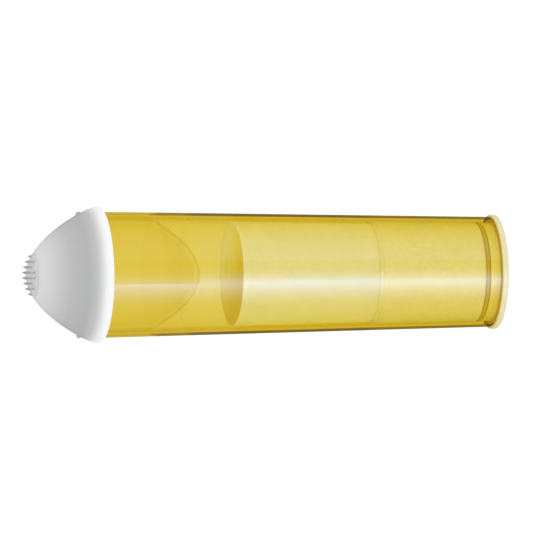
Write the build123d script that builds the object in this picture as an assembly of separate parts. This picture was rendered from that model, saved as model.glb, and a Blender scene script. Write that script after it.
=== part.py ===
from build123d import *
import math
import os

# A centrifugal filter tube, standing on its foot, axis along +Z, millimetres.
# From the floor up: a push-in base, a tapered tube, a filter cartridge inside it, a round-bottomed sample
# vial that hangs in the tube's mouth, a stopper in the vial, and a domed cap that turns on the stopper.
# Nearly every piece is turned about the tube's axis, so each one is a half profile of (radius, height).

# ---- Overall and the tapered tube ----
TOTAL_HEIGHT = 44.85  # floor to the top of the dome, without the crown's teeth
FOOT_THICKNESS = 0.55
FOOT_RADIUS = 5.33
MOUTH_HEIGHT = 38.3  # the tube's upper edge
TUBE_FOOT_RADIUS = 5.12  # outside, worked back to floor level
TUBE_TAPER = 0.0195  # gain in radius per millimetre of height
TUBE_WALL = 0.45
SLIP_GAP = 0.06  # between the tube's bore and what slides in it

# ---- Base ----
PLUG_DISC_RADIUS = 4.2
PLUG_SPIGOT_RADIUS = 4.6
PLUG_SPIGOT_TOP = 2.1
PLUG_BORE_RADIUS = 3.85
PLUG_FLOOR = 0.7
BASE_SEAL_BOTTOM = 1.55
BASE_SEAL_TOP = 1.95
BASE_SEAL_RADIUS = 4.66
FOOT_RING_KEY = 0.15  # depth of the groove that keys the foot ring to the plug's disc
FOOT_EDGE_ROUND = 0.12

# ---- Collecting chamber ----
CHAMBER_BOTTOM = 2.12
CHAMBER_TOP = 11.82
CHAMBER_WALL = 0.3

# ---- Filter cartridge ----
CARTRIDGE_BOTTOM = 11.85
CARTRIDGE_TOP = 29.4
CARTRIDGE_WALL = 0.25
LEDGE_THICKNESS = 0.3
LEDGE_BORE_RADIUS = 3.9
FRIT_THICKNESS = 0.6
RETAINER_THICKNESS = 0.45
RETAINER_BORE_RADIUS = 4.15
BED_TOP = 24.7
SEAT_TOP = 32.8
SEAT_DROP = 0.12  # how far the seat's bowl lies below the vial's

# ---- Sample vial ----
VIAL_BOTTOM = 28.4
VIAL_BOWL_RADIUS = 5.25  # where the parabolic bottom meets the straight wall
VIAL_BOWL_CURVE = 5.885  # radius squared over height, along the parabola
VIAL_WALL = 0.5
VIAL_FLOOR = 0.55
VIAL_LIP_RADIUS = 5.6
VIAL_LIP_TOP = 38.65

# ---- Stopper ----
STOPPER_BOTTOM = 37.6
STOPPER_RADIUS = 4.74
STOPPER_BORE_RADIUS = 3.9
STOPPER_ROOF = 38.2
STOPPER_FLANGE_RADIUS = 5.3
STOPPER_FLANGE_TOP = 39.2
STOPPER_SEAL_BOTTOM = 37.85
STOPPER_SEAL_TOP = 38.35
STOPPER_GROOVE_RADIUS = 4.3
STOPPER_SEAL_RADIUS = 4.79
BOSS_RADIUS = 1.9
BOSS_TOP = 41.9
BOSS_BORE_RADIUS = 1.0
BOSS_BORE_FLOOR = 39.7

# ---- Cap ----
HUB_CLEARANCE = 0.05
HUB_TIP = 39.9
BEAD_HEIGHT = 40.4  # the bead on the hub's pin that snaps into the boss
BEAD_HALF_LENGTH = 0.3
BEAD_RISE = 0.14
RIM_RADIUS = 6.36
RIM_BOTTOM = 37.9
RIM_LIP = 0.18  # half of the skirt's thickness at its rounded edge
CROWN_UNDERSIDE = 43.55
NUB_HEIGHT = 39.9
NUB_REACH = 5.64
NUB_RADIUS = 0.25

# ---- Toothed crown ----
CROWN_RADIUS = 2.05
CROWN_POCKET_FLOOR = 44.0
CROWN_FALL = 0.165  # drop of the dome's top per radius squared
TOOTH_PITCH = 0.5
TOOTH_HEIGHT = 0.33
TOOTH_BASE = 0.38
TOOTH_TIP = 0.05
TOOTH_ROOT = 0.12  # how far each tooth is sunk into the pad

DOME_TOP_PULL = (3.5, TOTAL_HEIGHT)  # the two control points that shape the dome between top and skirt
DOME_SKIRT_PULL = (6.5, 38.6)
DOME_INSIDE = [(5.6, 39.3), (4.62, 40.7), (2.85, 42.65), (0, CROWN_UNDERSIDE)]


def tube_outside(z):
    """Outer radius of the tapered tube at height z."""
    return TUBE_FOOT_RADIUS + TUBE_TAPER * z


def tube_bore(z):
    """Radius of the tube's bore at height z."""
    return tube_outside(z) - TUBE_WALL


def sliding_fit(z):
    """Outer radius of a piece that slides in the tube's bore, at height z."""
    return tube_bore(z) - SLIP_GAP


def turned(*edges):
    """A solid turned about +Z from the edges of its closed half profile."""
    return revolve(Plane.XZ * make_face(list(edges)), Axis.Z)


def turned_polygon(*points):
    """A solid turned about +Z from a half profile with straight sides."""
    return turned(*Polyline(*points, close=True).edges())


def tapered_ring(bottom, top, inside, outside):
    """A ring whose two faces follow the functions inside and outside, each a radius at a height."""
    return turned_polygon(
        (inside(bottom), bottom),
        (outside(bottom), bottom),
        (outside(top), top),
        (inside(top), top),
    )


def parabola(vertex, curve, start, end):
    """The stretch of radius squared = curve * (height - vertex) between two radii, as an exact curve."""
    return Bezier(
        (start, vertex + start * start / curve),
        ((start + end) / 2, vertex + start * end / curve),
        (end, vertex + end * end / curve),
    )


def rounded_ring(inner, outer, bottom, top):
    """A seal ring of D section: flat on its groove, round where it seals."""
    middle = (bottom + top) / 2
    flat = outer - (top - bottom) / 2
    return turned(
        Polyline((flat, bottom), (inner, bottom), (inner, top), (flat, top)),
        ThreePointArc((flat, top), (outer, middle), (flat, bottom)),
    )


# ---------------------------------------------------------------- base


def end_plug():
    """Shallow cup that closes the tube's foot, with a groove for the seal and one for the foot ring."""
    key_low, key_high = FOOT_THICKNESS / 3, FOOT_THICKNESS * 2 / 3
    return turned_polygon(
        (0, 0),
        (PLUG_DISC_RADIUS, 0),
        (PLUG_DISC_RADIUS, key_low),
        (PLUG_DISC_RADIUS - FOOT_RING_KEY, key_low),
        (PLUG_DISC_RADIUS - FOOT_RING_KEY, key_high),
        (PLUG_DISC_RADIUS, key_high),
        (PLUG_DISC_RADIUS, FOOT_THICKNESS),
        (PLUG_SPIGOT_RADIUS, FOOT_THICKNESS),
        (PLUG_SPIGOT_RADIUS, BASE_SEAL_BOTTOM),
        (PLUG_DISC_RADIUS, BASE_SEAL_BOTTOM),
        (PLUG_DISC_RADIUS, BASE_SEAL_TOP),
        (PLUG_SPIGOT_RADIUS, BASE_SEAL_TOP),
        (PLUG_SPIGOT_RADIUS, PLUG_SPIGOT_TOP),
        (PLUG_BORE_RADIUS, PLUG_SPIGOT_TOP),
        (PLUG_BORE_RADIUS, PLUG_FLOOR),
        (0, PLUG_FLOOR),
    )


def foot_ring():
    """Pale flange keyed round the plug's disc: the tube stands on it."""
    key_low, key_high = FOOT_THICKNESS / 3, FOOT_THICKNESS * 2 / 3
    ring = turned_polygon(
        (PLUG_DISC_RADIUS, 0),
        (FOOT_RADIUS, 0),
        (FOOT_RADIUS, FOOT_THICKNESS),
        (PLUG_DISC_RADIUS, FOOT_THICKNESS),
        (PLUG_DISC_RADIUS, key_high),
        (PLUG_DISC_RADIUS - FOOT_RING_KEY, key_high),
        (PLUG_DISC_RADIUS - FOOT_RING_KEY, key_low),
        (PLUG_DISC_RADIUS, key_low),
    )
    rim_edges = [e for e in ring.edges().filter_by(GeomType.CIRCLE) if abs(e.radius - FOOT_RADIUS) < 1e-6]
    return fillet(rim_edges, FOOT_EDGE_ROUND)


def base_seal_ring():
    """Dark ring that seals the plug in the tube."""
    return rounded_ring(PLUG_DISC_RADIUS, BASE_SEAL_RADIUS, BASE_SEAL_BOTTOM, BASE_SEAL_TOP)


# ---------------------------------------------------------------- tube


def outer_tube():
    """Tapered tube, open at both ends. It stands on the foot ring and carries the vial's lip on its mouth."""
    return tapered_ring(FOOT_THICKNESS, MOUTH_HEIGHT, tube_bore, tube_outside)


def collection_sleeve():
    """Frosted liner of the collecting chamber, pressed into the tube's bore."""
    return tapered_ring(CHAMBER_BOTTOM, CHAMBER_TOP, lambda z: tube_bore(z) - CHAMBER_WALL, tube_bore)


# ---------------------------------------------------------------- cartridge


def cartridge_bore(z):
    """Radius inside the cartridge's sleeve at height z."""
    return sliding_fit(z) - CARTRIDGE_WALL


def cartridge_sleeve():
    """Clear sleeve of the filter, with a ledge inside its lower end."""
    ledge_top = CARTRIDGE_BOTTOM + LEDGE_THICKNESS
    return turned_polygon(
        (LEDGE_BORE_RADIUS, CARTRIDGE_BOTTOM),
        (sliding_fit(CARTRIDGE_BOTTOM), CARTRIDGE_BOTTOM),
        (sliding_fit(CARTRIDGE_TOP), CARTRIDGE_TOP),
        (cartridge_bore(CARTRIDGE_TOP), CARTRIDGE_TOP),
        (cartridge_bore(ledge_top), ledge_top),
        (LEDGE_BORE_RADIUS, ledge_top),
    )


def cartridge_disc(bottom, top):
    """A disc that fills the cartridge's bore between two heights."""
    return turned_polygon((0, bottom), (cartridge_bore(bottom), bottom), (cartridge_bore(top), top), (0, top))


def bottom_frit():
    """Porous disc on the cartridge's ledge."""
    ledge_top = CARTRIDGE_BOTTOM + LEDGE_THICKNESS
    return cartridge_disc(ledge_top, ledge_top + FRIT_THICKNESS)


def filter_bed():
    """Packed filter medium between the two porous discs."""
    return cartridge_disc(CARTRIDGE_BOTTOM + LEDGE_THICKNESS + FRIT_THICKNESS, BED_TOP)


def top_frit():
    """Porous disc on top of the bed."""
    return cartridge_disc(BED_TOP, BED_TOP + FRIT_THICKNESS)


def frit_retainer():
    """Thin ring that holds the top disc down."""
    bottom = BED_TOP + FRIT_THICKNESS
    return tapered_ring(bottom, bottom + RETAINER_THICKNESS, lambda z: RETAINER_BORE_RADIUS, cartridge_bore)


def vial_seat():
    """Collar on top of the cartridge. Its bowl follows the vial's bottom and ends in a thin upper edge."""
    vertex = VIAL_BOTTOM - SEAT_DROP
    low = math.sqrt(VIAL_BOWL_CURVE * (CARTRIDGE_TOP - vertex))
    high = math.sqrt(VIAL_BOWL_CURVE * (SEAT_TOP - vertex))
    return turned(
        parabola(vertex, VIAL_BOWL_CURVE, low, high),
        Polyline(
            (high, SEAT_TOP),
            (sliding_fit(SEAT_TOP), SEAT_TOP),
            (sliding_fit(CARTRIDGE_TOP), CARTRIDGE_TOP),
            (low, CARTRIDGE_TOP),
        ),
    )


# ---------------------------------------------------------------- vial


def sample_vial():
    """Vessel with a parabolic bottom. Its lip rests on the tube's mouth."""
    bowl_top = VIAL_BOTTOM + VIAL_BOWL_RADIUS**2 / VIAL_BOWL_CURVE
    inner_bottom = VIAL_BOTTOM + VIAL_FLOOR
    inner_radius = VIAL_BOWL_RADIUS - VIAL_WALL
    inner_curve = inner_radius**2 / (bowl_top - inner_bottom)
    return turned(
        parabola(VIAL_BOTTOM, VIAL_BOWL_CURVE, 0, VIAL_BOWL_RADIUS),
        Polyline(
            (VIAL_BOWL_RADIUS, bowl_top),
            (sliding_fit(MOUTH_HEIGHT), MOUTH_HEIGHT),
            (VIAL_LIP_RADIUS, MOUTH_HEIGHT),
            (VIAL_LIP_RADIUS, VIAL_LIP_TOP),
            (sliding_fit(VIAL_LIP_TOP) - VIAL_WALL, VIAL_LIP_TOP),
            (inner_radius, bowl_top),
        ),
        parabola(inner_bottom, inner_curve, 0, inner_radius),
        Line((0, inner_bottom), (0, VIAL_BOTTOM)),
    )


# ---------------------------------------------------------------- stopper


def bead_profile(radius):
    """Points of the snap bead's outline on a pin or in a bore of that radius, from the bottom up."""
    half = BEAD_HALF_LENGTH / 2
    return [
        (radius, BEAD_HEIGHT - BEAD_HALF_LENGTH),
        (radius + BEAD_RISE, BEAD_HEIGHT - half),
        (radius + BEAD_RISE, BEAD_HEIGHT + half),
        (radius, BEAD_HEIGHT + BEAD_HALF_LENGTH),
    ]


def cap_plug():
    """Stopper: a hollow spigot in the vial, a flange on its lip, and a boss that the cap turns on."""
    return turned_polygon(
        (0, STOPPER_ROOF),
        (STOPPER_BORE_RADIUS, STOPPER_ROOF),
        (STOPPER_BORE_RADIUS, STOPPER_BOTTOM),
        (STOPPER_RADIUS, STOPPER_BOTTOM),
        (STOPPER_RADIUS, STOPPER_SEAL_BOTTOM),
        (STOPPER_GROOVE_RADIUS, STOPPER_SEAL_BOTTOM),
        (STOPPER_GROOVE_RADIUS, STOPPER_SEAL_TOP),
        (STOPPER_RADIUS, STOPPER_SEAL_TOP),
        (STOPPER_RADIUS, VIAL_LIP_TOP),
        (STOPPER_FLANGE_RADIUS, VIAL_LIP_TOP),
        (STOPPER_FLANGE_RADIUS, STOPPER_FLANGE_TOP),
        (BOSS_RADIUS, STOPPER_FLANGE_TOP),
        (BOSS_RADIUS, BOSS_TOP),
        (BOSS_BORE_RADIUS, BOSS_TOP),
        *reversed(bead_profile(BOSS_BORE_RADIUS)),
        (BOSS_BORE_RADIUS, BOSS_BORE_FLOOR),
        (0, BOSS_BORE_FLOOR),
    )


def cap_seal_ring():
    """Ring that seals the stopper in the vial's mouth."""
    return rounded_ring(STOPPER_GROOVE_RADIUS, STOPPER_SEAL_RADIUS, STOPPER_SEAL_BOTTOM, STOPPER_SEAL_TOP)


# ---------------------------------------------------------------- cap


def dome_profile():
    """The dome's outer line from its top to the widest point of the skirt."""
    rim = (RIM_RADIUS, RIM_BOTTOM + RIM_LIP)
    return Bezier((0, TOTAL_HEIGHT), DOME_TOP_PULL, DOME_SKIRT_PULL, rim)


def dome_shell():
    """The dome with its rounded rim, hollow from below."""
    rim_middle = (RIM_RADIUS - RIM_LIP, RIM_BOTTOM)
    inner_rim = (RIM_RADIUS - 2 * RIM_LIP, RIM_BOTTOM + RIM_LIP)
    return turned(
        dome_profile(),
        ThreePointArc((RIM_RADIUS, RIM_BOTTOM + RIM_LIP), rim_middle, inner_rim),
        Spline(inner_rim, *DOME_INSIDE, tangents=[(0, 1), (-1, 0)]),
        Line((0, CROWN_UNDERSIDE), (0, TOTAL_HEIGHT)),
    )


def hub_pin():
    """Pin under the crown with a snap bead, which turns in the stopper's boss."""
    radius = BOSS_BORE_RADIUS - HUB_CLEARANCE
    bead_rise_gap = [(r - HUB_CLEARANCE / 2, z) for r, z in bead_profile(radius)[1:3]]
    low, high = bead_profile(radius)[0], bead_profile(radius)[3]
    root = CROWN_UNDERSIDE + (CROWN_POCKET_FLOOR - CROWN_UNDERSIDE) / 2
    return turned_polygon(
        (0, HUB_TIP), (radius, HUB_TIP), low, *bead_rise_gap, high, (radius, root), (0, root)
    )


def crown_pocket():
    """The round space in the dome's top that the toothed pad fills."""
    depth = TOTAL_HEIGHT - CROWN_POCKET_FLOOR
    return Pos(0, 0, CROWN_POCKET_FLOOR) * Cylinder(
        CROWN_RADIUS, depth, align=(Align.CENTER, Align.CENTER, Align.MIN)
    )


def cap_shell():
    """White dome with its hub pin and two nubs opposite each other, away from the dome's seam."""
    nubs = [Pos(side * NUB_REACH, 0, NUB_HEIGHT) * Sphere(NUB_RADIUS) for side in (-1, 1)]
    shell = Rot(0, 0, 90) * (dome_shell() - crown_pocket() + hub_pin())
    for nub in nubs:
        shell += nub
    return shell


def tooth_places():
    """Centres of the teeth: a square grid with no tooth on the axis, kept to those wholly on the pad."""
    reach = math.ceil(CROWN_RADIUS / TOOTH_PITCH)
    steps = [(i + 0.5) * TOOTH_PITCH for i in range(-reach, reach)]
    half = TOOTH_BASE / 2
    return [(x, y) for x in steps for y in steps if math.hypot(abs(x) + half, abs(y) + half) < CROWN_RADIUS]


def tooth(x, y):
    """A small pyramid, standing on the dome's surface at (x, y)."""
    surface = TOTAL_HEIGHT - CROWN_FALL * (x * x + y * y)
    height = TOOTH_ROOT + TOOTH_HEIGHT
    slope = math.degrees(math.atan((TOOTH_BASE - TOOTH_TIP) / 2 / height))
    place = Pos(x, y, surface - TOOTH_ROOT)
    return place * extrude(Rectangle(TOOTH_BASE, TOOTH_BASE), height, taper=slope)


def crown_pad():
    """Grey pad that fills the dome's pocket and carries a grid of pyramid teeth."""
    dome = turned(
        dome_profile(),
        Polyline((RIM_RADIUS, RIM_BOTTOM + RIM_LIP), (0, RIM_BOTTOM + RIM_LIP), (0, TOTAL_HEIGHT)),
    )
    pad = dome & crown_pocket()
    teeth = [tooth(x, y) for x, y in tooth_places()]
    return pad.fuse(*teeth)


PIECES = [
    end_plug,
    foot_ring,
    base_seal_ring,
    outer_tube,
    collection_sleeve,
    cartridge_sleeve,
    bottom_frit,
    filter_bed,
    top_frit,
    frit_retainer,
    vial_seat,
    sample_vial,
    cap_plug,
    cap_seal_ring,
    cap_shell,
    crown_pad,
]

os.makedirs("parts", exist_ok=True)
for piece in PIECES:
    export_step(piece(), f"parts/{piece.__name__}.step")
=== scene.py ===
import math

import bmesh
import bpy
from mathutils import Matrix, Vector


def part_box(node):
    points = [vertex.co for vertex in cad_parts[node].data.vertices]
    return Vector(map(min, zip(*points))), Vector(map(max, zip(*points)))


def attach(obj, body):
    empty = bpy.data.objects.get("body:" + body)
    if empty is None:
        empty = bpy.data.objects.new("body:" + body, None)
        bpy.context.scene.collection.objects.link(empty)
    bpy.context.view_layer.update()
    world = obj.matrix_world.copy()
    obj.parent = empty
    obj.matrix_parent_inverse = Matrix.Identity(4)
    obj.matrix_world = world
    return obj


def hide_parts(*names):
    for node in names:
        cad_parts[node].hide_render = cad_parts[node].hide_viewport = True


# The looks of a centrifugal filter tube: clear yellow walls round a filter cartridge and a round-bottomed
# vial, under a white domed cap with a toothed crown. Lengths are in millimetres until a mesh is made,
# which multiplies them by MM. Profiles are half outlines of (radius, height), turned about +Z.

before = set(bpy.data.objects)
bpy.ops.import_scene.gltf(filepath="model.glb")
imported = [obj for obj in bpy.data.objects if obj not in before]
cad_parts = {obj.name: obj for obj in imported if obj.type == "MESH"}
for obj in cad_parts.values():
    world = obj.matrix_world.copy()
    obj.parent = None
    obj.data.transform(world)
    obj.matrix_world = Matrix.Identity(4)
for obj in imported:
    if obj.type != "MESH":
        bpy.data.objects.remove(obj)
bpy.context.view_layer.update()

MM = 0.001
SEGMENTS = 192  # round the axis, on every turned piece
CORNER_STEPS = 4  # along a rounded corner
CORNER_SHARE = 0.4  # the most of an edge that a rounded corner takes
ON_AXIS = 1e-6  # a smaller radius counts as on the axis
CURVE_STEPS = 40  # along a dome or a bowl
SHARP_ANGLE = math.radians(32)


def low_high(node):
    """The node's lowest and highest corners."""
    low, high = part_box(node)
    return low / MM, high / MM


def heights(node):
    """The node's bottom and top."""
    low, high = low_high(node)
    return low.z, high.z


def radius_of(node):
    """The node's largest radius."""
    return low_high(node)[1].x


# ---- Sizes read from the frame ----
FOOT_TOP = heights("foot_ring")[1]
FOOT_RADIUS = radius_of("foot_ring")
TUBE_BOTTOM, MOUTH = heights("outer_tube")
MOUTH_RADIUS = radius_of("outer_tube")
CHAMBER_BOTTOM, CHAMBER_TOP = heights("collection_sleeve")
CARTRIDGE_TOP = heights("cartridge_sleeve")[1]
LOW_FRIT_BOTTOM, LOW_FRIT_TOP = heights("bottom_frit")
TOP_FRIT_BOTTOM, TOP_FRIT_TOP = heights("top_frit")
RETAINER_TOP = heights("frit_retainer")[1]
SEAT_TOP = heights("vial_seat")[1]
VIAL_BOTTOM, VIAL_TOP = heights("sample_vial")
VIAL_LIP_RADIUS = radius_of("sample_vial")
BASE_SEAL_BOTTOM, BASE_SEAL_TOP = heights("base_seal_ring")
BASE_SEAL_RADIUS = radius_of("base_seal_ring")
PLUG_TOP = heights("end_plug")[1]
PLUG_RADIUS = radius_of("end_plug")
STOPPER_BOTTOM, BOSS_TOP = heights("cap_plug")
FLANGE_RADIUS = radius_of("cap_plug")
CAP_SEAL_BOTTOM, CAP_SEAL_TOP = heights("cap_seal_ring")
CAP_SEAL_RADIUS = radius_of("cap_seal_ring")
RIM_BOTTOM = heights("cap_shell")[0]
RIM_RADIUS = radius_of("cap_shell")
CROWN_FLOOR = heights("crown_pad")[0]

# ---- Sizes that a box can't give ----
TAPER = 0.0195  # the tube's gain in radius per height
TUBE_WALL = 0.45
SLIP_GAP = 0.06
FACE_GAP = 0.015  # kept between two faces that touch, so that they don't fight
SEAM_GAP = 0.002  # the same, where a wider gap would show as a dark line
CHAMBER_WALL = 0.3
CARTRIDGE_WALL = 0.25
LEDGE_BORE = 3.9
RETAINER_BORE = 4.15
VIAL_WALL = 0.5
VIAL_FLOOR = 0.55
VIAL_CURVE = 5.885  # radius squared over height, along the vial's parabolic bottom
VIAL_BOWL_RADIUS = 5.25
SEAT_DROP = 0.12
PLUG_DISC_RADIUS = 4.2
PLUG_BORE = 3.85
PLUG_FLOOR = 0.7
KEY_DEPTH = 0.15
STOPPER_RADIUS = 4.74
STOPPER_BORE = 3.9
STOPPER_ROOF = 38.2
SEAL_GROOVE_RADIUS = 4.3
FLANGE_TOP = 39.2
BOSS_RADIUS = 1.9
BOSS_BORE = 1.0
BOSS_BORE_FLOOR = 39.7
PIN_RADIUS = 0.95
PIN_TIP = 39.9
BEAD_HEIGHT = 40.4
BEAD_HALF_LENGTH = 0.3
BEAD_RISE = 0.14
DOME_TOP = 44.85
RIM_LIP = 0.18
CROWN_RADIUS = 2.05
CROWN_FALL = 0.165  # drop of the dome's top per radius squared
TOOTH_HEIGHT = 0.33
NUB_REACH = 5.64
NUB_HEIGHT = 39.9
NUB_RADIUS = 0.25


def tube_outside(z):
    """Outer radius of the tapered tube at height z."""
    return MOUTH_RADIUS - TAPER * (MOUTH - z)


def tube_bore(z):
    """Radius of the tube's bore at height z."""
    return tube_outside(z) - TUBE_WALL


def sliding_fit(z):
    """Outer radius of a piece that slides in the tube's bore, at height z."""
    return tube_bore(z) - SLIP_GAP


def cartridge_bore(z):
    """Radius inside the cartridge's sleeve at height z."""
    return sliding_fit(z) - CARTRIDGE_WALL


# ---------------------------------------------------------------- meshes


def rounded(points, radius, closed=True):
    """The polygon's points with each corner replaced by a small arc. A corner on the axis stays sharp."""
    made = []
    count = len(points)
    for i, corner in enumerate(points):
        here = Vector(corner)
        ends = not closed and i in (0, count - 1)
        if ends or here.x < ON_AXIS:
            made.append(here)
            continue
        before = Vector(points[i - 1]) - here
        after = Vector(points[(i + 1) % count]) - here
        reach = min(radius, CORNER_SHARE * before.length, CORNER_SHARE * after.length)
        start = here + before.normalized() * reach
        end = here + after.normalized() * reach
        for step in range(CORNER_STEPS + 1):
            t = step / CORNER_STEPS
            made.append(start * (1 - t) ** 2 + here * 2 * t * (1 - t) + end * t * t)
    return made


def bezier(start, start_pull, end_pull, end, steps=CURVE_STEPS):
    """Points along a cubic curve, both ends included."""
    made = []
    for step in range(steps + 1):
        t = step / steps
        weights = ((1 - t) ** 3, 3 * t * (1 - t) ** 2, 3 * t * t * (1 - t), t**3)
        point = Vector((0, 0))
        for pull, weight in zip((start, start_pull, end_pull, end), weights):
            point += Vector(pull) * weight
        made.append(point)
    return made


def parabola(vertex, curve, start, end, steps=CURVE_STEPS):
    """Points where radius squared = curve * (height - vertex), from one radius to another."""
    radii = [start + (end - start) * i / steps for i in range(steps + 1)]
    return [Vector((r, vertex + r * r / curve)) for r in radii]


def half_circle(centre, radius, start, end, steps=10):
    """Points on an arc from one angle to another, in degrees from the outward direction."""
    made = []
    for step in range(steps + 1):
        angle = math.radians(start + (end - start) * step / steps)
        made.append(Vector((centre[0] + radius * math.cos(angle), centre[1] + radius * math.sin(angle))))
    return made


def circle(mesh, radius, z, segments):
    """New vertices of the mesh on a level circle round the axis, in metres."""
    angles = [2 * math.pi * i / segments for i in range(segments)]
    return [mesh.verts.new((radius * math.cos(a), radius * math.sin(a), z)) for a in angles]


def turned(name, profile, segments=SEGMENTS):
    """A closed mesh turned about +Z from a closed half outline. Points on the axis become single vertices."""
    mesh = bmesh.new()
    rings = []
    for r, z in profile:
        if r < ON_AXIS:
            rings.append([mesh.verts.new((0, 0, z * MM))])
        else:
            rings.append(circle(mesh, r * MM, z * MM, segments))
    for ring, following in zip(rings, rings[1:] + rings[:1]):
        if len(ring) == 1 and len(following) == 1:
            continue
        for i in range(segments):
            j = (i + 1) % segments
            corners = [ring[i % len(ring)], ring[j % len(ring)]]
            corners += [following[j % len(following)], following[i % len(following)]]
            mesh.faces.new(list(dict.fromkeys(corners)))
    bmesh.ops.recalc_face_normals(mesh, faces=mesh.faces)
    return finished(name, mesh)


def finished(name, mesh):
    """An object made from the bmesh, smooth but for its sharp edges."""
    data = bpy.data.meshes.new(name)
    mesh.to_mesh(data)
    mesh.free()
    data.shade_smooth()
    data.set_sharp_from_angle(angle=SHARP_ANGLE)
    piece = bpy.data.objects.new(name, data)
    bpy.context.scene.collection.objects.link(piece)
    return piece


def united(piece, *others):
    """The piece with the other solids fused to it."""
    for other in others:
        join = piece.modifiers.new("join", "BOOLEAN")
        join.operation = "UNION"
        join.solver = "EXACT"
        join.object = other
    graph = bpy.context.evaluated_depsgraph_get()
    fused = bpy.data.meshes.new_from_object(piece.evaluated_get(graph))
    piece.modifiers.clear()
    piece.data = fused
    fused.shade_smooth()
    fused.set_sharp_from_angle(angle=SHARP_ANGLE)
    for other in others:
        bpy.data.objects.remove(other)
    return piece


# ---------------------------------------------------------------- materials


NOISE_LOW, NOISE_HIGH = 0.3, 0.7  # where most of a noise's values lie


class Look:
    """A material's node tree, with short ways to add its nodes."""

    def __init__(self, name):
        self.material = bpy.data.materials.new(name)
        self.material.use_nodes = True
        self.tree = self.material.node_tree
        self.tree.nodes.clear()
        self.output = self.add("ShaderNodeOutputMaterial")
        self.place = self.add("ShaderNodeTexCoord").outputs["Object"]

    def add(self, kind, values=None, **properties):
        """A node with its properties set and its inputs set or joined."""
        made = self.tree.nodes.new(kind)
        for name, value in properties.items():
            setattr(made, name, value)
        for name, value in (values or {}).items():
            if isinstance(value, bpy.types.NodeSocket):
                self.tree.links.new(value, made.inputs[name])
            else:
                made.inputs[name].default_value = value
        return made

    def math(self, operation, first, second=0.0, clamp=False):
        """The result of a sum on numbers or outputs."""
        made = self.add("ShaderNodeMath", {0: first, 1: second}, operation=operation, use_clamp=clamp)
        return made.outputs[0]

    def noise(self, grain, detail=3.0, roughness=0.6, stretch=None):
        """Noise whose grains are about that many millimetres across, longer along an axis if stretched."""
        place = self.place
        if stretch:
            place = self.add("ShaderNodeMapping", {"Vector": place, "Scale": stretch}).outputs[0]
        values = {"Vector": place, "Scale": 1 / (grain * MM), "Detail": detail, "Roughness": roughness}
        return self.add("ShaderNodeTexNoise", values).outputs["Fac"]

    def spots(self, grain):
        """Distance to the nearest of scattered points, about that many millimetres apart."""
        values = {"Vector": self.place, "Scale": 1 / (grain * MM)}
        return self.add("ShaderNodeTexVoronoi", values).outputs["Distance"]

    def span(self, value, low, high, to_low=0.0, to_high=1.0):
        """The value moved from one range to another, kept inside it."""
        values = {"Value": value, "From Min": low, "From Max": high, "To Min": to_low, "To Max": to_high}
        return self.add("ShaderNodeMapRange", values).outputs["Result"]

    def varied(self, noise, low, high):
        """A level that follows the middle of the noise's range."""
        return self.span(noise, NOISE_LOW, NOISE_HIGH, low, high)

    def axes(self, vector=None):
        """The three parts of a vector, or of the place in the object's own axes."""
        place = self.place if vector is None else vector
        return self.add("ShaderNodeSeparateXYZ", {0: place}).outputs

    def height(self, low, high):
        """0 at the lower height and 1 at the upper one, in millimetres."""
        return self.span(self.axes()["Z"], low * MM, high * MM)

    def radius_squared(self):
        """The squared distance from the axis."""
        axes = self.axes()
        return self.math("ADD", *[self.math("MULTIPLY", axes[name], axes[name]) for name in "XY"])

    def ramp(self, value, stops):
        """A colour for the value, from stops of (place, colour)."""
        made = self.add("ShaderNodeValToRGB", {"Fac": value})
        ramp = made.color_ramp
        for _ in stops[2:]:
            ramp.elements.new(0.5)
        for element, (position, colour) in zip(ramp.elements, stops):
            element.position = position
            element.color = (*colour, 1)
        return made.outputs["Color"]

    def mottled(self, noise, dark, light):
        """A colour that follows the middle of the noise's range."""
        return self.ramp(noise, [(NOISE_LOW, dark), (NOISE_HIGH, light)])

    def as_grey(self, level):
        """The level as a colour."""
        return self.ramp(level, [(0.0, grey(0.0)), (1.0, grey(1.0))])

    def tinted(self, colour, by):
        """Two colours multiplied."""
        values = {6: colour, 7: by, "Factor": 1.0}
        return self.add("ShaderNodeMix", values, data_type="RGBA", blend_type="MULTIPLY").outputs[2]

    def mixed(self, share, first, second):
        """The first colour, turning into the second as the share grows."""
        return self.add("ShaderNodeMix", {"Factor": share, 6: first, 7: second}, data_type="RGBA").outputs[2]

    def bump(self, height, depth):
        """Surface relief, as deep as depth in millimetres."""
        values = {"Height": height, "Distance": depth * MM, "Strength": 1.0}
        return self.add("ShaderNodeBump", values).outputs[0]

    def surface(self, shader):
        """Takes the shader as the surface and gives the material."""
        self.tree.links.new(shader, self.output.inputs["Surface"])
        return self.material

    def principled(self, values):
        """An opaque surface."""
        return self.surface(self.add("ShaderNodeBsdfPrincipled", values).outputs[0])


def grey(level):
    """A colour without hue."""
    return (level, level, level)


YELLOW_ABSORPTION = (0.12, 0.22, 1.0)  # how strongly red, green and blue are taken, against blue
SLANT_ABSORPTION = (0.0, 0.03, 0.8)  # the same, for the extra depth of a face that turns away
SLANT_STEPS = 6
LEAST_FACING = 0.42  # a face that turns away further gets no deeper
WALL_FACING = 0.7  # a wall counts as seen edge on where its outside faces further away than this
FACING_GLOSS = 0.04
GRAZING_GLOSS = 0.08
GRAZING_POWER = 5.0


def yellow_tint(depth, absorption=YELLOW_ABSORPTION):
    """The colour that is left of white after that optical depth in the blue."""
    return tuple(math.exp(-depth * share) for share in absorption)


def on_outside(look):
    """1 on the tube's outer face and 0 on its bore."""
    radius = look.math("SQRT", look.radius_squared())
    level = look.math("SUBTRACT", radius, look.math("MULTIPLY", look.axes()["Z"], TAPER))
    foot = tube_outside(0)
    return look.span(level, (foot - TUBE_WALL * 0.6) * MM, (foot - TUBE_WALL * 0.4) * MM)


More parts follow.
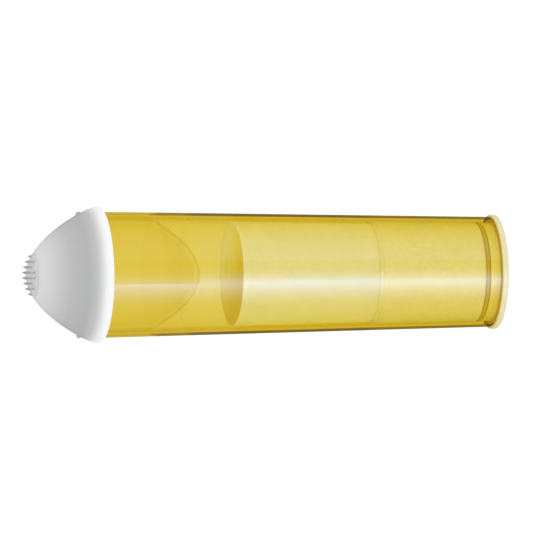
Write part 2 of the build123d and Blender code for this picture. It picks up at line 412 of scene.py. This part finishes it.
def local_normal(look):
    """The surface's normal in the object's own axes."""
    normal = look.add("ShaderNodeNewGeometry").outputs["Normal"]
    turn = {"vector_type": "NORMAL", "convert_from": "WORLD", "convert_to": "OBJECT"}
    return look.add("ShaderNodeVectorTransform", {0: normal}, **turn).outputs[0]


def turned_outward(look):
    """1 where the front of a face looks away from the axis, and 0 elsewhere."""
    normal = look.axes(local_normal(look))
    axes = look.axes()
    parts = [look.math("MULTIPLY", normal[name], axes[name]) for name in "XY"]
    away = look.span(look.math("ADD", *parts), 0, 0.01 * MM)
    backfacing = look.add("ShaderNodeNewGeometry").outputs["Backfacing"]
    return look.math("SUBTRACT", away, backfacing, clamp=True)


def clear_plastic(name, skin, depth_per_mm, gloss=None, edge=None, slant=None, outer=on_outside):
    """Clear yellow plastic. skin is the optical depth of each face, depth_per_mm that of its inside.
    gloss gives the share of full gloss, edge the painted shade that edge-on walls keep, slant how much deeper
    the outer face gets as it turns away, and outer which faces are outer ones, each from the look."""
    look = Look(name)
    facing = look.add("ShaderNodeLayerWeight", {"Blend": 0.5}).outputs["Facing"]
    cloud = look.noise(2.2, 4.0, stretch=(1, 1, 0.25))
    tint = look.mottled(cloud, yellow_tint(skin * 0.94), yellow_tint(skin * 1.06))
    backfacing = look.add("ShaderNodeNewGeometry").outputs["Backfacing"]
    if slant:
        front = look.math("MAXIMUM", look.math("SUBTRACT", 1.0, facing), LEAST_FACING)
        longer = look.math("SUBTRACT", look.math("DIVIDE", 1.0, front), 1.0)
        deeper = look.math("MULTIPLY", longer, slant(look))
        deeper = look.math("MULTIPLY", deeper, look.math("SUBTRACT", outer(look), backfacing, clamp=True))
        deepest = 1 / LEAST_FACING - 1
        shares = [step / SLANT_STEPS for step in range(SLANT_STEPS + 1)]
        stops = [(share, yellow_tint(deepest * share, SLANT_ABSORPTION)) for share in shares]
        tint = look.tinted(tint, look.ramp(look.span(deeper, 0, deepest), stops))
    # painted shade on edge-on outer walls, standing for the dark that refraction gives there
    if edge:
        edge_on = look.span(facing, WALL_FACING - 0.02, WALL_FACING + 0.04)
        shade = look.math("MULTIPLY", edge_on, outer(look))
        tint = look.tinted(tint, look.mixed(shade, (1, 1, 1, 1), edge(look)))
    surface = look.add("ShaderNodeBsdfTransparent", {"Color": tint}).outputs[0]
    if gloss:
        drag = look.noise(0.5, 3.0, stretch=(1, 1, 0.04))
        shine = look.varied(drag, 0.03, 0.05)
        values = {"Color": (1, 1, 1, 1), "Roughness": shine, "Normal": look.bump(drag, 0.0003)}
        glossy = look.add("ShaderNodeBsdfGlossy", values).outputs[0]
        grazing = look.math("MULTIPLY", look.math("POWER", facing, GRAZING_POWER), GRAZING_GLOSS)
        share = look.math("MULTIPLY", look.math("ADD", grazing, FACING_GLOSS), gloss(look))
        share = look.math("MULTIPLY", share, look.math("SUBTRACT", outer(look), backfacing, clamp=True))
        surface = look.add("ShaderNodeMixShader", {0: share, 1: surface, 2: glossy}).outputs[0]
    left = tuple(1 - c for c in YELLOW_ABSORPTION)
    inside = look.add("ShaderNodeVolumeAbsorption", {"Color": (*left, 1), "Density": depth_per_mm / MM})
    look.tree.links.new(inside.outputs[0], look.output.inputs["Volume"])
    return look.surface(surface)


# The levels by height along the tube are fitted to its look from the front. The plastic itself would be even.
BED_EDGE = TOP_FRIT_TOP + 0.2  # on the tube, in front of the top frit's near edge
VIAL_TIP = VIAL_BOTTOM + 1.4  # on the tube, in front of the vial's lowest point
TUBE_GLOSS = [
    (0.0, 0.85),
    (CHAMBER_TOP, 0.85),
    (CHAMBER_TOP + 0.1, 1.08),
    (BED_EDGE, 1.08),
    (BED_EDGE + 0.1, 0.66),
    (VIAL_TIP - 0.1, 0.66),
    (VIAL_TIP, 0.34),
    (MOUTH, 0.34),
]
TUBE_SLANT = [(0.0, 1.0), (BED_EDGE, 1.0), (BED_EDGE + 0.1, 0.0), (MOUTH, 0.0)]
# painted shade that the tube's edge-on walls keep, by height
TUBE_EDGE_SHADE = [
    (0.0, (0.56, 0.53, 0.62)),
    (CHAMBER_TOP, (0.56, 0.53, 0.62)),
    (CHAMBER_TOP + 0.1, (0.5, 0.47, 0.6)),
    (CARTRIDGE_TOP - 0.1, (0.5, 0.47, 0.6)),
    (CARTRIDGE_TOP, (0.62, 0.59, 0.6)),
    (SEAT_TOP - 0.1, (0.62, 0.59, 0.6)),
    (SEAT_TOP, (0.84, 0.82, 0.78)),
    (MOUTH, (0.86, 0.84, 0.8)),
]
GLOSS_STEP = -8.5  # degrees from the front: below it the wall over the vial is glossier
GLOSS_STEP_WIDTH = 0.6  # degrees that the change takes
GLOSS_STEP_GAIN = 1.35  # gloss added below it, against the gloss above it


def along_tube(look, levels):
    """A colour by height along the tube, from (height, colour or level)."""
    stops = [(z / MOUTH, c if isinstance(c, tuple) else grey(c)) for z, c in levels]
    return look.ramp(look.height(0, MOUTH), stops)


def tube_gloss(look):
    """The tube's gloss by height, more than doubled over the vial on one side of a step. The step imitates a
    sharp reflection, and stands for nothing in the plastic."""
    level = along_tube(look, TUBE_GLOSS)
    axes = look.axes()
    side = look.math("ARCTAN2", axes["X"], look.math("MULTIPLY", axes["Y"], -1.0))
    line = math.radians(GLOSS_STEP)
    below = look.span(side, line - math.radians(GLOSS_STEP_WIDTH), line, 1.0, 0.0)
    over_vial = look.span(axes["Z"], (VIAL_TIP - 0.1) * MM, VIAL_TIP * MM)
    gain = look.math("MULTIPLY", below, look.math("MULTIPLY", over_vial, GLOSS_STEP_GAIN))
    return look.math("MULTIPLY", level, look.math("ADD", 1.0, gain))


def frosted_plastic(name, dark, light):
    """Frosted yellow plastic with a fine grain."""
    look = Look(name)
    grain = look.noise(0.22, 5.0, 0.7)
    cloud = look.noise(1.6, 3.0)
    colour = look.mottled(grain, dark, light)
    values = {
        "Base Color": look.tinted(colour, look.mottled(cloud, grey(0.95), grey(1.0))),
        "Roughness": look.varied(grain, 0.3, 0.5),
        "Normal": look.bump(grain, 0.012),
    }
    return look.principled(values)


def bed_medium():
    """Packed cream filter medium with fine grains and darker specks."""
    look = Look("bed_cream")
    grain = look.noise(0.2, 6.0, 0.75)
    specks = look.span(look.spots(0.45), 0.05, 0.22, 0.88, 1.0)
    cloud = look.noise(2.0, 3.0)
    colour = look.mottled(grain, (0.92, 0.85, 0.60), (0.99, 0.97, 0.86))
    colour = look.tinted(colour, look.as_grey(specks))
    values = {
        "Base Color": look.tinted(colour, look.mottled(cloud, grey(0.95), grey(1.0))),
        "Roughness": look.varied(cloud, 0.75, 0.9),
        "Normal": look.bump(grain, 0.03),
    }
    return look.principled(values)


# Painted shade on the disc's flat faces: their colour from one side to the other, darkest where X and Y are
# low
FRIT_FACE_SHADE = [
    (0.1, (0.80, 0.60, 0.02)),
    (0.5, (0.90, 0.72, 0.05)),
    (0.75, (0.94, 0.80, 0.14)),
    (1.0, (0.97, 0.88, 0.34)),
]


def frit():
    """Porous disc: flat faces in a painted ochre shade, paler towards one side, and a cream edge."""
    look = Look("frit_ochre")
    upright = look.math("ABSOLUTE", look.axes(local_normal(look))["Z"])
    axes = look.axes()
    across = look.math("ADD", axes["X"], look.math("MULTIPLY", axes["Y"], 0.8))
    side = look.span(across, -4 * MM, 4 * MM)
    # painted shade: paler towards high X and Y, with some noise
    face_shade = look.math("ADD", side, look.span(look.noise(1.5), 0.2, 0.8, -0.12, 0.12))
    face = look.ramp(face_shade, FRIT_FACE_SHADE)
    base = look.mixed(look.span(upright, 0.5, 0.8), (0.96, 0.92, 0.74, 1), face)
    pores = look.span(look.spots(0.16), 0.05, 0.4, 0.88, 1.0)
    values = {
        "Base Color": look.tinted(base, look.as_grey(pores)),
        "Roughness": look.span(pores, 0.7, 1.0, 0.8, 0.65),
        "Normal": look.bump(look.noise(0.12, 4.0), 0.02),
    }
    return look.principled(values)


CAP_HEIGHT = DOME_TOP - RIM_BOTTOM
CAP_SHADES = [  # by height over the rim: shading painted into a plastic that would be an even white
    (0.0, 0.96),
    (0.45, 0.95),
    (0.75, 0.86),
    (1.05, 0.70),
    (1.45, 0.55),
    (2.2, 0.46),
    (3.7, 0.50),
    (4.8, 0.60),
    (5.9, 0.69),
    (CAP_HEIGHT, 0.69),
]


def white_plastic():
    """Satin white of the dome, its shading painted in: lightest at the skirt, greyest above, paler on top."""
    look = Look("white_plastic")
    stops = [(rise / CAP_HEIGHT, grey(level)) for rise, level in CAP_SHADES]
    shade = look.ramp(look.height(RIM_BOTTOM, DOME_TOP), stops)
    mottle = look.noise(0.9, 4.0)
    values = {
        "Base Color": look.tinted(shade, look.mottled(mottle, grey(0.985), grey(1.0))),
        "Roughness": look.varied(mottle, 0.5, 0.62),
        "Specular IOR Level": 0.05,
        "Normal": look.bump(look.noise(0.12, 3.0), 0.003),
    }
    return look.principled(values)


def rubber(name, dark, light, gloss=0.3):
    """Rubber with a fine bloom."""
    look = Look(name)
    bloom = look.noise(0.25, 5.0, 0.7)
    values = {
        "Base Color": look.mottled(bloom, dark, light),
        "Roughness": look.varied(bloom, 0.5, 0.7),
        "Specular IOR Level": gloss,
        "Normal": look.bump(look.noise(0.08, 3.0), 0.006),
    }
    return look.principled(values)


def crown_rubber():
    """Crown rubber with painted shade: grey like the dome's painted top, darker towards the teeth's tips."""
    look = Look("crown_rubber")
    fall = look.math("MULTIPLY", look.radius_squared(), CROWN_FALL / MM)
    lift = look.math("ADD", look.axes()["Z"], fall)
    # painted shade, darker with height up the teeth
    shade = look.ramp(
        look.span(lift, DOME_TOP * MM, (DOME_TOP + TOOTH_HEIGHT) * MM),
        [(0.0, grey(0.66)), (0.3, grey(0.6)), (0.7, grey(0.38)), (1.0, grey(0.28))],
    )
    bloom = look.mottled(look.noise(0.2, 5.0, 0.7), grey(0.93), grey(1.0))
    values = {
        "Base Color": look.tinted(shade, bloom),
        "Roughness": 0.7,
        "Specular IOR Level": 0.1,
        "Normal": look.bump(look.noise(0.08, 3.0), 0.004),
    }
    return look.principled(values)


def foot_plastic():
    """Pale satin yellow of the foot ring, with a painted shadow that deepens it along its upper edge."""
    look = Look("pale_yellow")
    mottle = look.noise(0.6, 4.0)
    base = look.mottled(mottle, (0.82, 0.73, 0.40), (0.88, 0.80, 0.47))
    # painted shadow along the ring's upper edge, under the tube's bottom
    upper = look.height(FOOT_TOP - 0.05, FOOT_TOP)
    edge = look.ramp(upper, [(0.0, grey(1.0)), (1.0, (0.78, 0.64, 0.14))])
    values = {
        "Base Color": look.tinted(base, edge),
        "Roughness": look.varied(mottle, 0.35, 0.5),
        "Normal": look.bump(look.noise(0.1, 3.0), 0.003),
    }
    return look.principled(values)


TUBE_LOOK = clear_plastic(
    "clear_yellow_tube",
    skin=0.4,
    depth_per_mm=0.7,
    gloss=tube_gloss,
    edge=lambda look: along_tube(look, TUBE_EDGE_SHADE),
    slant=lambda look: along_tube(look, TUBE_SLANT),
)
INNER_DEPTH = 0.02  # optical depth per millimetre of the clear pieces inside the tube
INNER_FINISH = {
    "gloss": lambda look: 0.1,
    # a faint painted shade on edge-on walls
    "edge": lambda look: (0.94, 0.91, 0.78, 1),
    "outer": turned_outward,
}
CARTRIDGE_LOOK = clear_plastic("clear_yellow_cartridge", 0.04, INNER_DEPTH, **INNER_FINISH)
RETAINER_LOOK = clear_plastic("clear_yellow_retainer", 0.03, INNER_DEPTH)
SEAT_LOOK = clear_plastic("clear_yellow_seat", 0.05, INNER_DEPTH, **INNER_FINISH)
VIAL_LOOK = clear_plastic("vial_yellow", 0.12, INNER_DEPTH, **INNER_FINISH)
PLUG_LOOK = frosted_plastic("frosted_yellow_plug", (0.93, 0.78, 0.18), (0.99, 0.87, 0.27))
FROSTED = frosted_plastic("frosted_yellow", (0.92, 0.80, 0.44), (0.99, 0.92, 0.60))
BED = bed_medium()
FRIT = frit()
WHITE = white_plastic()
FOOT = foot_plastic()
AMBER_RUBBER = rubber("amber_rubber", (0.60, 0.44, 0.03), (0.72, 0.55, 0.06), gloss=0.1)
GREY_RUBBER = rubber("grey_rubber", (0.42, 0.42, 0.42), (0.55, 0.55, 0.55))
CROWN = crown_rubber()


# ---------------------------------------------------------------- pieces

CORNER = 0.06  # radius of the usual moulded corner
FOOT_CORNER = 0.16
TUBE_CORNER = 0.1
LINER_CORNER = 0.01
RETAINER_CORNER = 0.08
FRIT_CORNER = 0.02
PIN_CORNER = 0.05
SEAM_CORNER = 0.004  # where a rounder corner would show as a dark line


def place(piece, body, slot, look, node=None, clear=False):
    """Gives the piece its material, lets it stand for its CAD node, and puts it on its body; slot is not
    used.
    """
    piece.data.materials.clear()
    piece.data.materials.append(look)
    if node:
        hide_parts(node)
    if clear:
        piece.visible_shadow = False
        piece.visible_diffuse = False
        piece.visible_glossy = False
    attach(piece, body)
    return piece


def sleeve(bottom, top, inside, outside, corner):
    """Outline of a ring whose two walls follow the functions inside and outside, with rounded corners."""
    points = [(inside(bottom), bottom), (outside(bottom), bottom), (outside(top), top), (inside(top), top)]
    return rounded(points, corner)


def disc(bottom, top, corner):
    """Outline of a disc that fills the cartridge's bore."""
    low_radius = cartridge_bore(bottom) - FACE_GAP
    high_radius = cartridge_bore(top) - FACE_GAP
    return rounded([(0, bottom), (low_radius, bottom), (high_radius, top), (0, top)], corner)


def seal(inner, outer, bottom, top):
    """Outline of a D-section ring: flat on its groove, round where it seals."""
    half = (top - bottom) / 2
    middle = (bottom + top) / 2
    nose = half_circle((outer - half, middle), half, -90, 90)
    return [Vector((inner, bottom)), *nose, Vector((inner, top))]


def make_base():
    """Push-in plug with its two grooves, the pale foot ring keyed to it, and the amber seal."""
    key_low, key_high = FOOT_TOP / 3, FOOT_TOP * 2 / 3
    key_radius = PLUG_DISC_RADIUS - KEY_DEPTH
    disc_radius = PLUG_DISC_RADIUS - FACE_GAP
    spigot = PLUG_RADIUS
    outline = rounded(
        [
            (0, 0),
            (disc_radius, 0),
            (disc_radius, key_low),
            (key_radius - FACE_GAP, key_low),
            (key_radius - FACE_GAP, key_high),
            (disc_radius, key_high),
            (disc_radius, FOOT_TOP + FACE_GAP),
            (spigot, FOOT_TOP + FACE_GAP),
            (spigot, BASE_SEAL_BOTTOM - FACE_GAP),
            (disc_radius, BASE_SEAL_BOTTOM - FACE_GAP),
            (disc_radius, BASE_SEAL_TOP + FACE_GAP),
            (spigot, BASE_SEAL_TOP + FACE_GAP),
            (spigot, PLUG_TOP),
            (PLUG_BORE, PLUG_TOP),
            (PLUG_BORE, PLUG_FLOOR),
            (0, PLUG_FLOOR),
        ],
        CORNER,
    )
    place(turned("end_plug_satin", outline), "base", "frosted_yellow", PLUG_LOOK, "end_plug")

    section = [(PLUG_DISC_RADIUS, 0), (FOOT_RADIUS, 0), (FOOT_RADIUS, FOOT_TOP), (PLUG_DISC_RADIUS, FOOT_TOP)]
    ring = rounded(section, FOOT_CORNER)
    ring += [
        Vector((PLUG_DISC_RADIUS, key_high - FACE_GAP)),
        Vector((key_radius, key_high - FACE_GAP)),
        Vector((key_radius, key_low + FACE_GAP)),
        Vector((PLUG_DISC_RADIUS, key_low + FACE_GAP)),
    ]
    place(turned("foot_ring_satin", ring), "base", "pale_yellow", FOOT, "foot_ring")

    band = seal(PLUG_DISC_RADIUS, BASE_SEAL_RADIUS, BASE_SEAL_BOTTOM, BASE_SEAL_TOP)
    place(turned("base_seal_rubber", band), "base", "amber_rubber", AMBER_RUBBER, "base_seal_ring")


def make_tube():
    """The tapered outer tube and the frosted liner of its collecting chamber."""
    wall = sleeve(TUBE_BOTTOM + FACE_GAP, MOUTH - FACE_GAP, tube_bore, tube_outside, TUBE_CORNER)
    place(turned("outer_tube_clear", wall), "tube", "clear_yellow", TUBE_LOOK, "outer_tube", clear=True)
    liner = sleeve(
        CHAMBER_BOTTOM,
        CHAMBER_TOP,
        lambda z: tube_bore(z) - CHAMBER_WALL,
        lambda z: tube_bore(z) - FACE_GAP,
        LINER_CORNER,
    )
    place(turned("collection_liner_frosted", liner), "tube", "frosted_yellow", FROSTED, "collection_sleeve")


def make_cartridge():
    """Clear sleeve on its frosted ledge, the two porous discs, the bed, the retainer and the vial's seat."""
    body = "cartridge"
    wall = sleeve(LOW_FRIT_BOTTOM, CARTRIDGE_TOP - FACE_GAP, cartridge_bore, sliding_fit, CORNER)
    wall = turned("cartridge_sleeve_clear", wall)
    place(wall, body, "clear_yellow", CARTRIDGE_LOOK, "cartridge_sleeve", clear=True)
    ledge = sleeve(
        CHAMBER_TOP + SEAM_GAP,
        LOW_FRIT_BOTTOM - SEAM_GAP,
        lambda z: LEDGE_BORE,
        sliding_fit,
        SEAM_CORNER,
    )
    place(turned("cartridge_ledge_frosted", ledge), body, "frosted_yellow", FROSTED, "cartridge_sleeve")
    low_frit = turned("bottom_frit_porous", disc(LOW_FRIT_BOTTOM, LOW_FRIT_TOP - SEAM_GAP, SEAM_CORNER))
    place(low_frit, body, "bed_cream", BED, "bottom_frit")
    bed = turned("filter_bed_packed", disc(LOW_FRIT_TOP, TOP_FRIT_BOTTOM - SEAM_GAP, SEAM_CORNER))
    place(bed, body, "bed_cream", BED, "filter_bed")
    top_frit = turned("top_frit_porous", disc(TOP_FRIT_BOTTOM, TOP_FRIT_TOP, FRIT_CORNER))
    place(top_frit, body, "frit_ochre", FRIT, "top_frit")
    ring = sleeve(
        TOP_FRIT_TOP + FACE_GAP,
        RETAINER_TOP,
        lambda z: RETAINER_BORE,
        lambda z: cartridge_bore(z) - FACE_GAP,
        RETAINER_CORNER,
    )
    ring = turned("frit_retainer_clear", ring)
    place(ring, body, "clear_yellow", RETAINER_LOOK, "frit_retainer", clear=True)

    vertex = VIAL_BOTTOM - SEAT_DROP
    low = math.sqrt(VIAL_CURVE * (CARTRIDGE_TOP - vertex))
    high = math.sqrt(VIAL_CURVE * (SEAT_TOP - vertex))
    seat = parabola(vertex, VIAL_CURVE, low, high)
    seat += [Vector((sliding_fit(SEAT_TOP), SEAT_TOP)), Vector((sliding_fit(CARTRIDGE_TOP), CARTRIDGE_TOP))]
    place(turned("vial_seat_clear", seat), body, "clear_yellow", SEAT_LOOK, "vial_seat", clear=True)


def make_vial():
    """Vessel with a parabolic bottom, hung in the tube's mouth by its lip."""
    bowl_top = VIAL_BOTTOM + VIAL_BOWL_RADIUS**2 / VIAL_CURVE
    inner_bottom = VIAL_BOTTOM + VIAL_FLOOR
    inner_radius = VIAL_BOWL_RADIUS - VIAL_WALL
    inner_curve = inner_radius**2 / (bowl_top - inner_bottom)
    outline = parabola(VIAL_BOTTOM, VIAL_CURVE, 0, VIAL_BOWL_RADIUS)
    outline += rounded(
        [
            (VIAL_BOWL_RADIUS, bowl_top),
            (sliding_fit(MOUTH), MOUTH),
            (VIAL_LIP_RADIUS, MOUTH),
            (VIAL_LIP_RADIUS, VIAL_TOP - FACE_GAP),
            (sliding_fit(VIAL_TOP) - VIAL_WALL, VIAL_TOP - FACE_GAP),
            (inner_radius, bowl_top),
        ],
        CORNER,
        closed=False,
    )[1:-1]
    outline += parabola(inner_bottom, inner_curve, inner_radius, 0)
    place(turned("sample_vial_clear", outline), "vial", "vial_yellow", VIAL_LOOK, "sample_vial", clear=True)


def bead(radius, rise):
    """Outline of the snap bead on a pin or in a bore, from the bottom up."""
    half = BEAD_HALF_LENGTH / 2
    return [
        (radius, BEAD_HEIGHT - BEAD_HALF_LENGTH),
        (radius + rise, BEAD_HEIGHT - half),
        (radius + rise, BEAD_HEIGHT + half),
        (radius, BEAD_HEIGHT + BEAD_HALF_LENGTH),
    ]


def make_stopper():
    """Hollow spigot in the vial, flange on its lip, and the boss that the cap turns on."""
    outline = rounded(
        [
            (0, STOPPER_ROOF),
            (STOPPER_BORE, STOPPER_ROOF),
            (STOPPER_BORE, STOPPER_BOTTOM),
            (STOPPER_RADIUS, STOPPER_BOTTOM),
            (STOPPER_RADIUS, CAP_SEAL_BOTTOM - FACE_GAP),
            (SEAL_GROOVE_RADIUS - FACE_GAP, CAP_SEAL_BOTTOM - FACE_GAP),
            (SEAL_GROOVE_RADIUS - FACE_GAP, CAP_SEAL_TOP + FACE_GAP),
            (STOPPER_RADIUS, CAP_SEAL_TOP + FACE_GAP),
            (STOPPER_RADIUS, VIAL_TOP + FACE_GAP),
            (FLANGE_RADIUS, VIAL_TOP + FACE_GAP),
            (FLANGE_RADIUS, FLANGE_TOP),
            (BOSS_RADIUS, FLANGE_TOP),
            (BOSS_RADIUS, BOSS_TOP),
            (BOSS_BORE, BOSS_TOP),
            *reversed(bead(BOSS_BORE, BEAD_RISE)),
            (BOSS_BORE, BOSS_BORE_FLOOR),
            (0, BOSS_BORE_FLOOR),
        ],
        CORNER,
    )
    place(turned("stopper_white", outline), "stopper", "white_plastic", WHITE, "cap_plug")
    band = seal(SEAL_GROOVE_RADIUS, CAP_SEAL_RADIUS, CAP_SEAL_BOTTOM, CAP_SEAL_TOP)
    place(turned("stopper_seal_rubber", band), "stopper", "grey_rubber", GREY_RUBBER, "cap_seal_ring")


# Start, two pulls and end of each face of the dome
DOME_CURVE = ((0, DOME_TOP), (3.5, DOME_TOP), (6.5, 38.6), (RIM_RADIUS, RIM_BOTTOM + RIM_LIP))
DOME_STEPS = 90
INNER_DOME_CURVE = ((RIM_RADIUS - 2 * RIM_LIP, RIM_BOTTOM + RIM_LIP), (5.9, 39.5), (3.6, 43.4), (0, 43.55))


def make_cap():
    """White dome with its rounded rim, hub pin and two nubs. The toothed pad stays the CAD's own."""
    outside = [p for p in bezier(*DOME_CURVE, steps=DOME_STEPS) if p.x > CROWN_RADIUS]
    inside = [p for p in bezier(*INNER_DOME_CURVE) if p.x > PIN_RADIUS]
    rim_centre = (RIM_RADIUS - RIM_LIP, RIM_BOTTOM + RIM_LIP)
    pocket = CROWN_RADIUS + SEAM_GAP
    outline = [Vector((0, CROWN_FLOOR - FACE_GAP)), Vector((pocket, CROWN_FLOOR - FACE_GAP))]
    outline += [Vector((pocket, outside[0].y)), *outside]
    outline += half_circle(rim_centre, RIM_LIP, 0, -180)[:-1]
    outline += inside
    pin = [(PIN_RADIUS, inside[-1].y), *reversed(bead(PIN_RADIUS, BEAD_RISE / 2))]
    pin += [(PIN_RADIUS, PIN_TIP), (0, PIN_TIP)]
    outline += rounded(pin, PIN_CORNER, closed=False)[1:]
    dome = turned("cap_dome_white", outline)
    nubs = []
    for side in (-1, 1):
        nub = turned("nub", half_circle((0, NUB_HEIGHT), NUB_RADIUS, -90, 90, 16), segments=32)
        nub.data.transform(Matrix.Translation((side * NUB_REACH * MM, 0, 0)))
        nubs.append(nub)
    place(united(dome, *nubs), "cap", "white_plastic", WHITE, "cap_shell")
    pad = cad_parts["crown_pad"]
    pad.data.materials.clear()
    pad.data.materials.append(CROWN)


# ---------------------------------------------------------------- studio

ELEVATION = math.radians(13.5)
ROLL = math.radians(-0.44)
AIM = Vector((0.656, 0, 21.95))  # the point in the middle of the picture
LENS = 1000.0
SENSOR = 36.0
VIEW_WIDTH = 49.62  # what the picture spans at the object


def make_camera():
    """A long lens square on to the tube, lying on its side so that the cap is on the left."""
    data = bpy.data.cameras.new("camera")
    data.lens = LENS
    data.sensor_width = SENSOR
    data.clip_end = 50
    camera = bpy.data.objects.new("camera", data)
    right = Vector((0, -math.sin(ELEVATION), -math.cos(ELEVATION)))
    back = Vector((0, -math.cos(ELEVATION), math.sin(ELEVATION)))
    up = back.cross(right)
    turn = Matrix((right, up, back)).transposed().to_4x4() @ Matrix.Rotation(ROLL, 4, "Z")
    away = VIEW_WIDTH * LENS / SENSOR
    camera.matrix_world = Matrix.Translation((AIM + back * away) * MM) @ turn
    bpy.context.scene.collection.objects.link(camera)
    bpy.context.scene.camera = camera


# Brightness round the object that only its gloss sees: (degrees from the front, level), to the right of
# a viewer at the front as positive. The levels and the blue are fitted to the highlights seen from the front.
COOL = (0.25, 0.45, 1.0)  # blue, because a highlight on yellow plastic gains mostly blue
GLOSS_STUDIO = [
    (-180, 0.2),
    (-100, 0.2),
    (-66, 0.3),
    (-55, 1.0),
    (-42, 3.2),
    (-30, 6.5),
    (-21, 10.5),
    (-16, 10.0),
    (-8, 4.5),
    (2, 1.2),
    (12, 0.2),
    (24, 0.1),
    (26.5, 1.3),
    (60, 1.1),
    (90, 0.3),
    (180, 0.2),
]
STUDIO_RADIUS = 1.3  # metres
STUDIO_HALF_HEIGHT = 1.3
STUDIO_SEGMENTS = 96


def hidden_from(lamp, *rays):
    """Hides a stage object from those kinds of rays."""
    for ray in rays:
        setattr(lamp, "visible_" + ray, False)


def make_gloss_studio():
    """An upright ring of soft blue strip lights and dark gaps round the object, seen in its gloss only."""
    mesh = bmesh.new()
    low = circle(mesh, STUDIO_RADIUS, -STUDIO_HALF_HEIGHT, STUDIO_SEGMENTS)
    high = circle(mesh, STUDIO_RADIUS, STUDIO_HALF_HEIGHT, STUDIO_SEGMENTS)
    for i in range(STUDIO_SEGMENTS):
        j = (i + 1) % STUDIO_SEGMENTS
        mesh.faces.new((low[i], low[j], high[j], high[i]))
    ring = finished("gloss_studio", mesh)
    look = Look("gloss_studio")
    axes = look.axes()
    turn = look.math("ARCTAN2", axes["X"], look.math("MULTIPLY", axes["Y"], -1.0))
    stops = [(0.5 + degrees / 360, tuple(level * c for c in COOL)) for degrees, level in GLOSS_STUDIO]
    colour = look.ramp(look.span(turn, -math.pi, math.pi), stops)
    glow = look.add("ShaderNodeEmission", {"Color": colour, "Strength": 1.0})
    ring.data.materials.append(look.surface(glow.outputs[0]))
    hidden_from(ring, "camera", "diffuse", "transmission", "volume_scatter", "shadow")


FLOOR_RADIUS = 4.0  # metres
FLOOR_GLOW = 0.8
FLOOR_DROP = 0.02  # millimetres under the foot
SKY_LEVEL = 0.85
CLEAR_BOUNCES = 64  # enough for light to cross every clear face in its way


def make_floor():
    """A plain pale disc that the tube stands on."""
    mesh = bmesh.new()
    bmesh.ops.create_circle(mesh, cap_ends=True, segments=128, radius=FLOOR_RADIUS)
    bmesh.ops.translate(mesh, verts=mesh.verts, vec=(0, 0, -FLOOR_DROP * MM))
    floor = finished("floor", mesh)
    look = Look("floor")
    values = {"Base Color": (0.25, 0.25, 0.25, 1), "Roughness": 1.0, "Specular IOR Level": 0.0}
    values |= {"Emission Color": (1, 1, 1, 1), "Emission Strength": FLOOR_GLOW}
    floor.data.materials.append(look.principled(values))
    hidden_from(floor, "glossy")


def make_lamp(name, degrees, height, distance, size, power):
    """A large square lamp that looks at the object from that side."""
    data = bpy.data.lights.new(name, "AREA")
    data.shape = "SQUARE"
    data.size = size
    data.energy = power
    lamp = bpy.data.objects.new(name, data)
    side = math.radians(degrees)
    lamp.location = (distance * math.sin(side), -distance * math.cos(side), height)
    aim = Vector((0, 0, AIM.z * MM)) - lamp.location
    lamp.rotation_euler = aim.to_track_quat("-Z", "Y").to_euler()
    bpy.context.scene.collection.objects.link(lamp)
    hidden_from(lamp, "camera", "glossy")


def make_light():
    """Even white surroundings with a soft key and a weaker fill."""
    world = bpy.data.worlds.new("studio")
    world.use_nodes = True
    sky = world.node_tree.nodes["Background"]
    sky.inputs["Color"].default_value = (1, 1, 1, 1)
    sky.inputs["Strength"].default_value = SKY_LEVEL
    bpy.context.scene.world = world
    make_lamp("key", degrees=-10, height=1.6, distance=1.0, size=0.9, power=4.5)
    make_lamp("fill", degrees=100, height=0.9, distance=1.2, size=0.9, power=1.5)


make_camera()
make_base()
make_tube()
make_cartridge()
make_vial()
make_stopper()
make_cap()
make_gloss_studio()
make_floor()
make_light()

scene = bpy.context.scene
scene.view_settings.view_transform = "Standard"
scene.cycles.transparent_max_bounces = CLEAR_BOUNCES
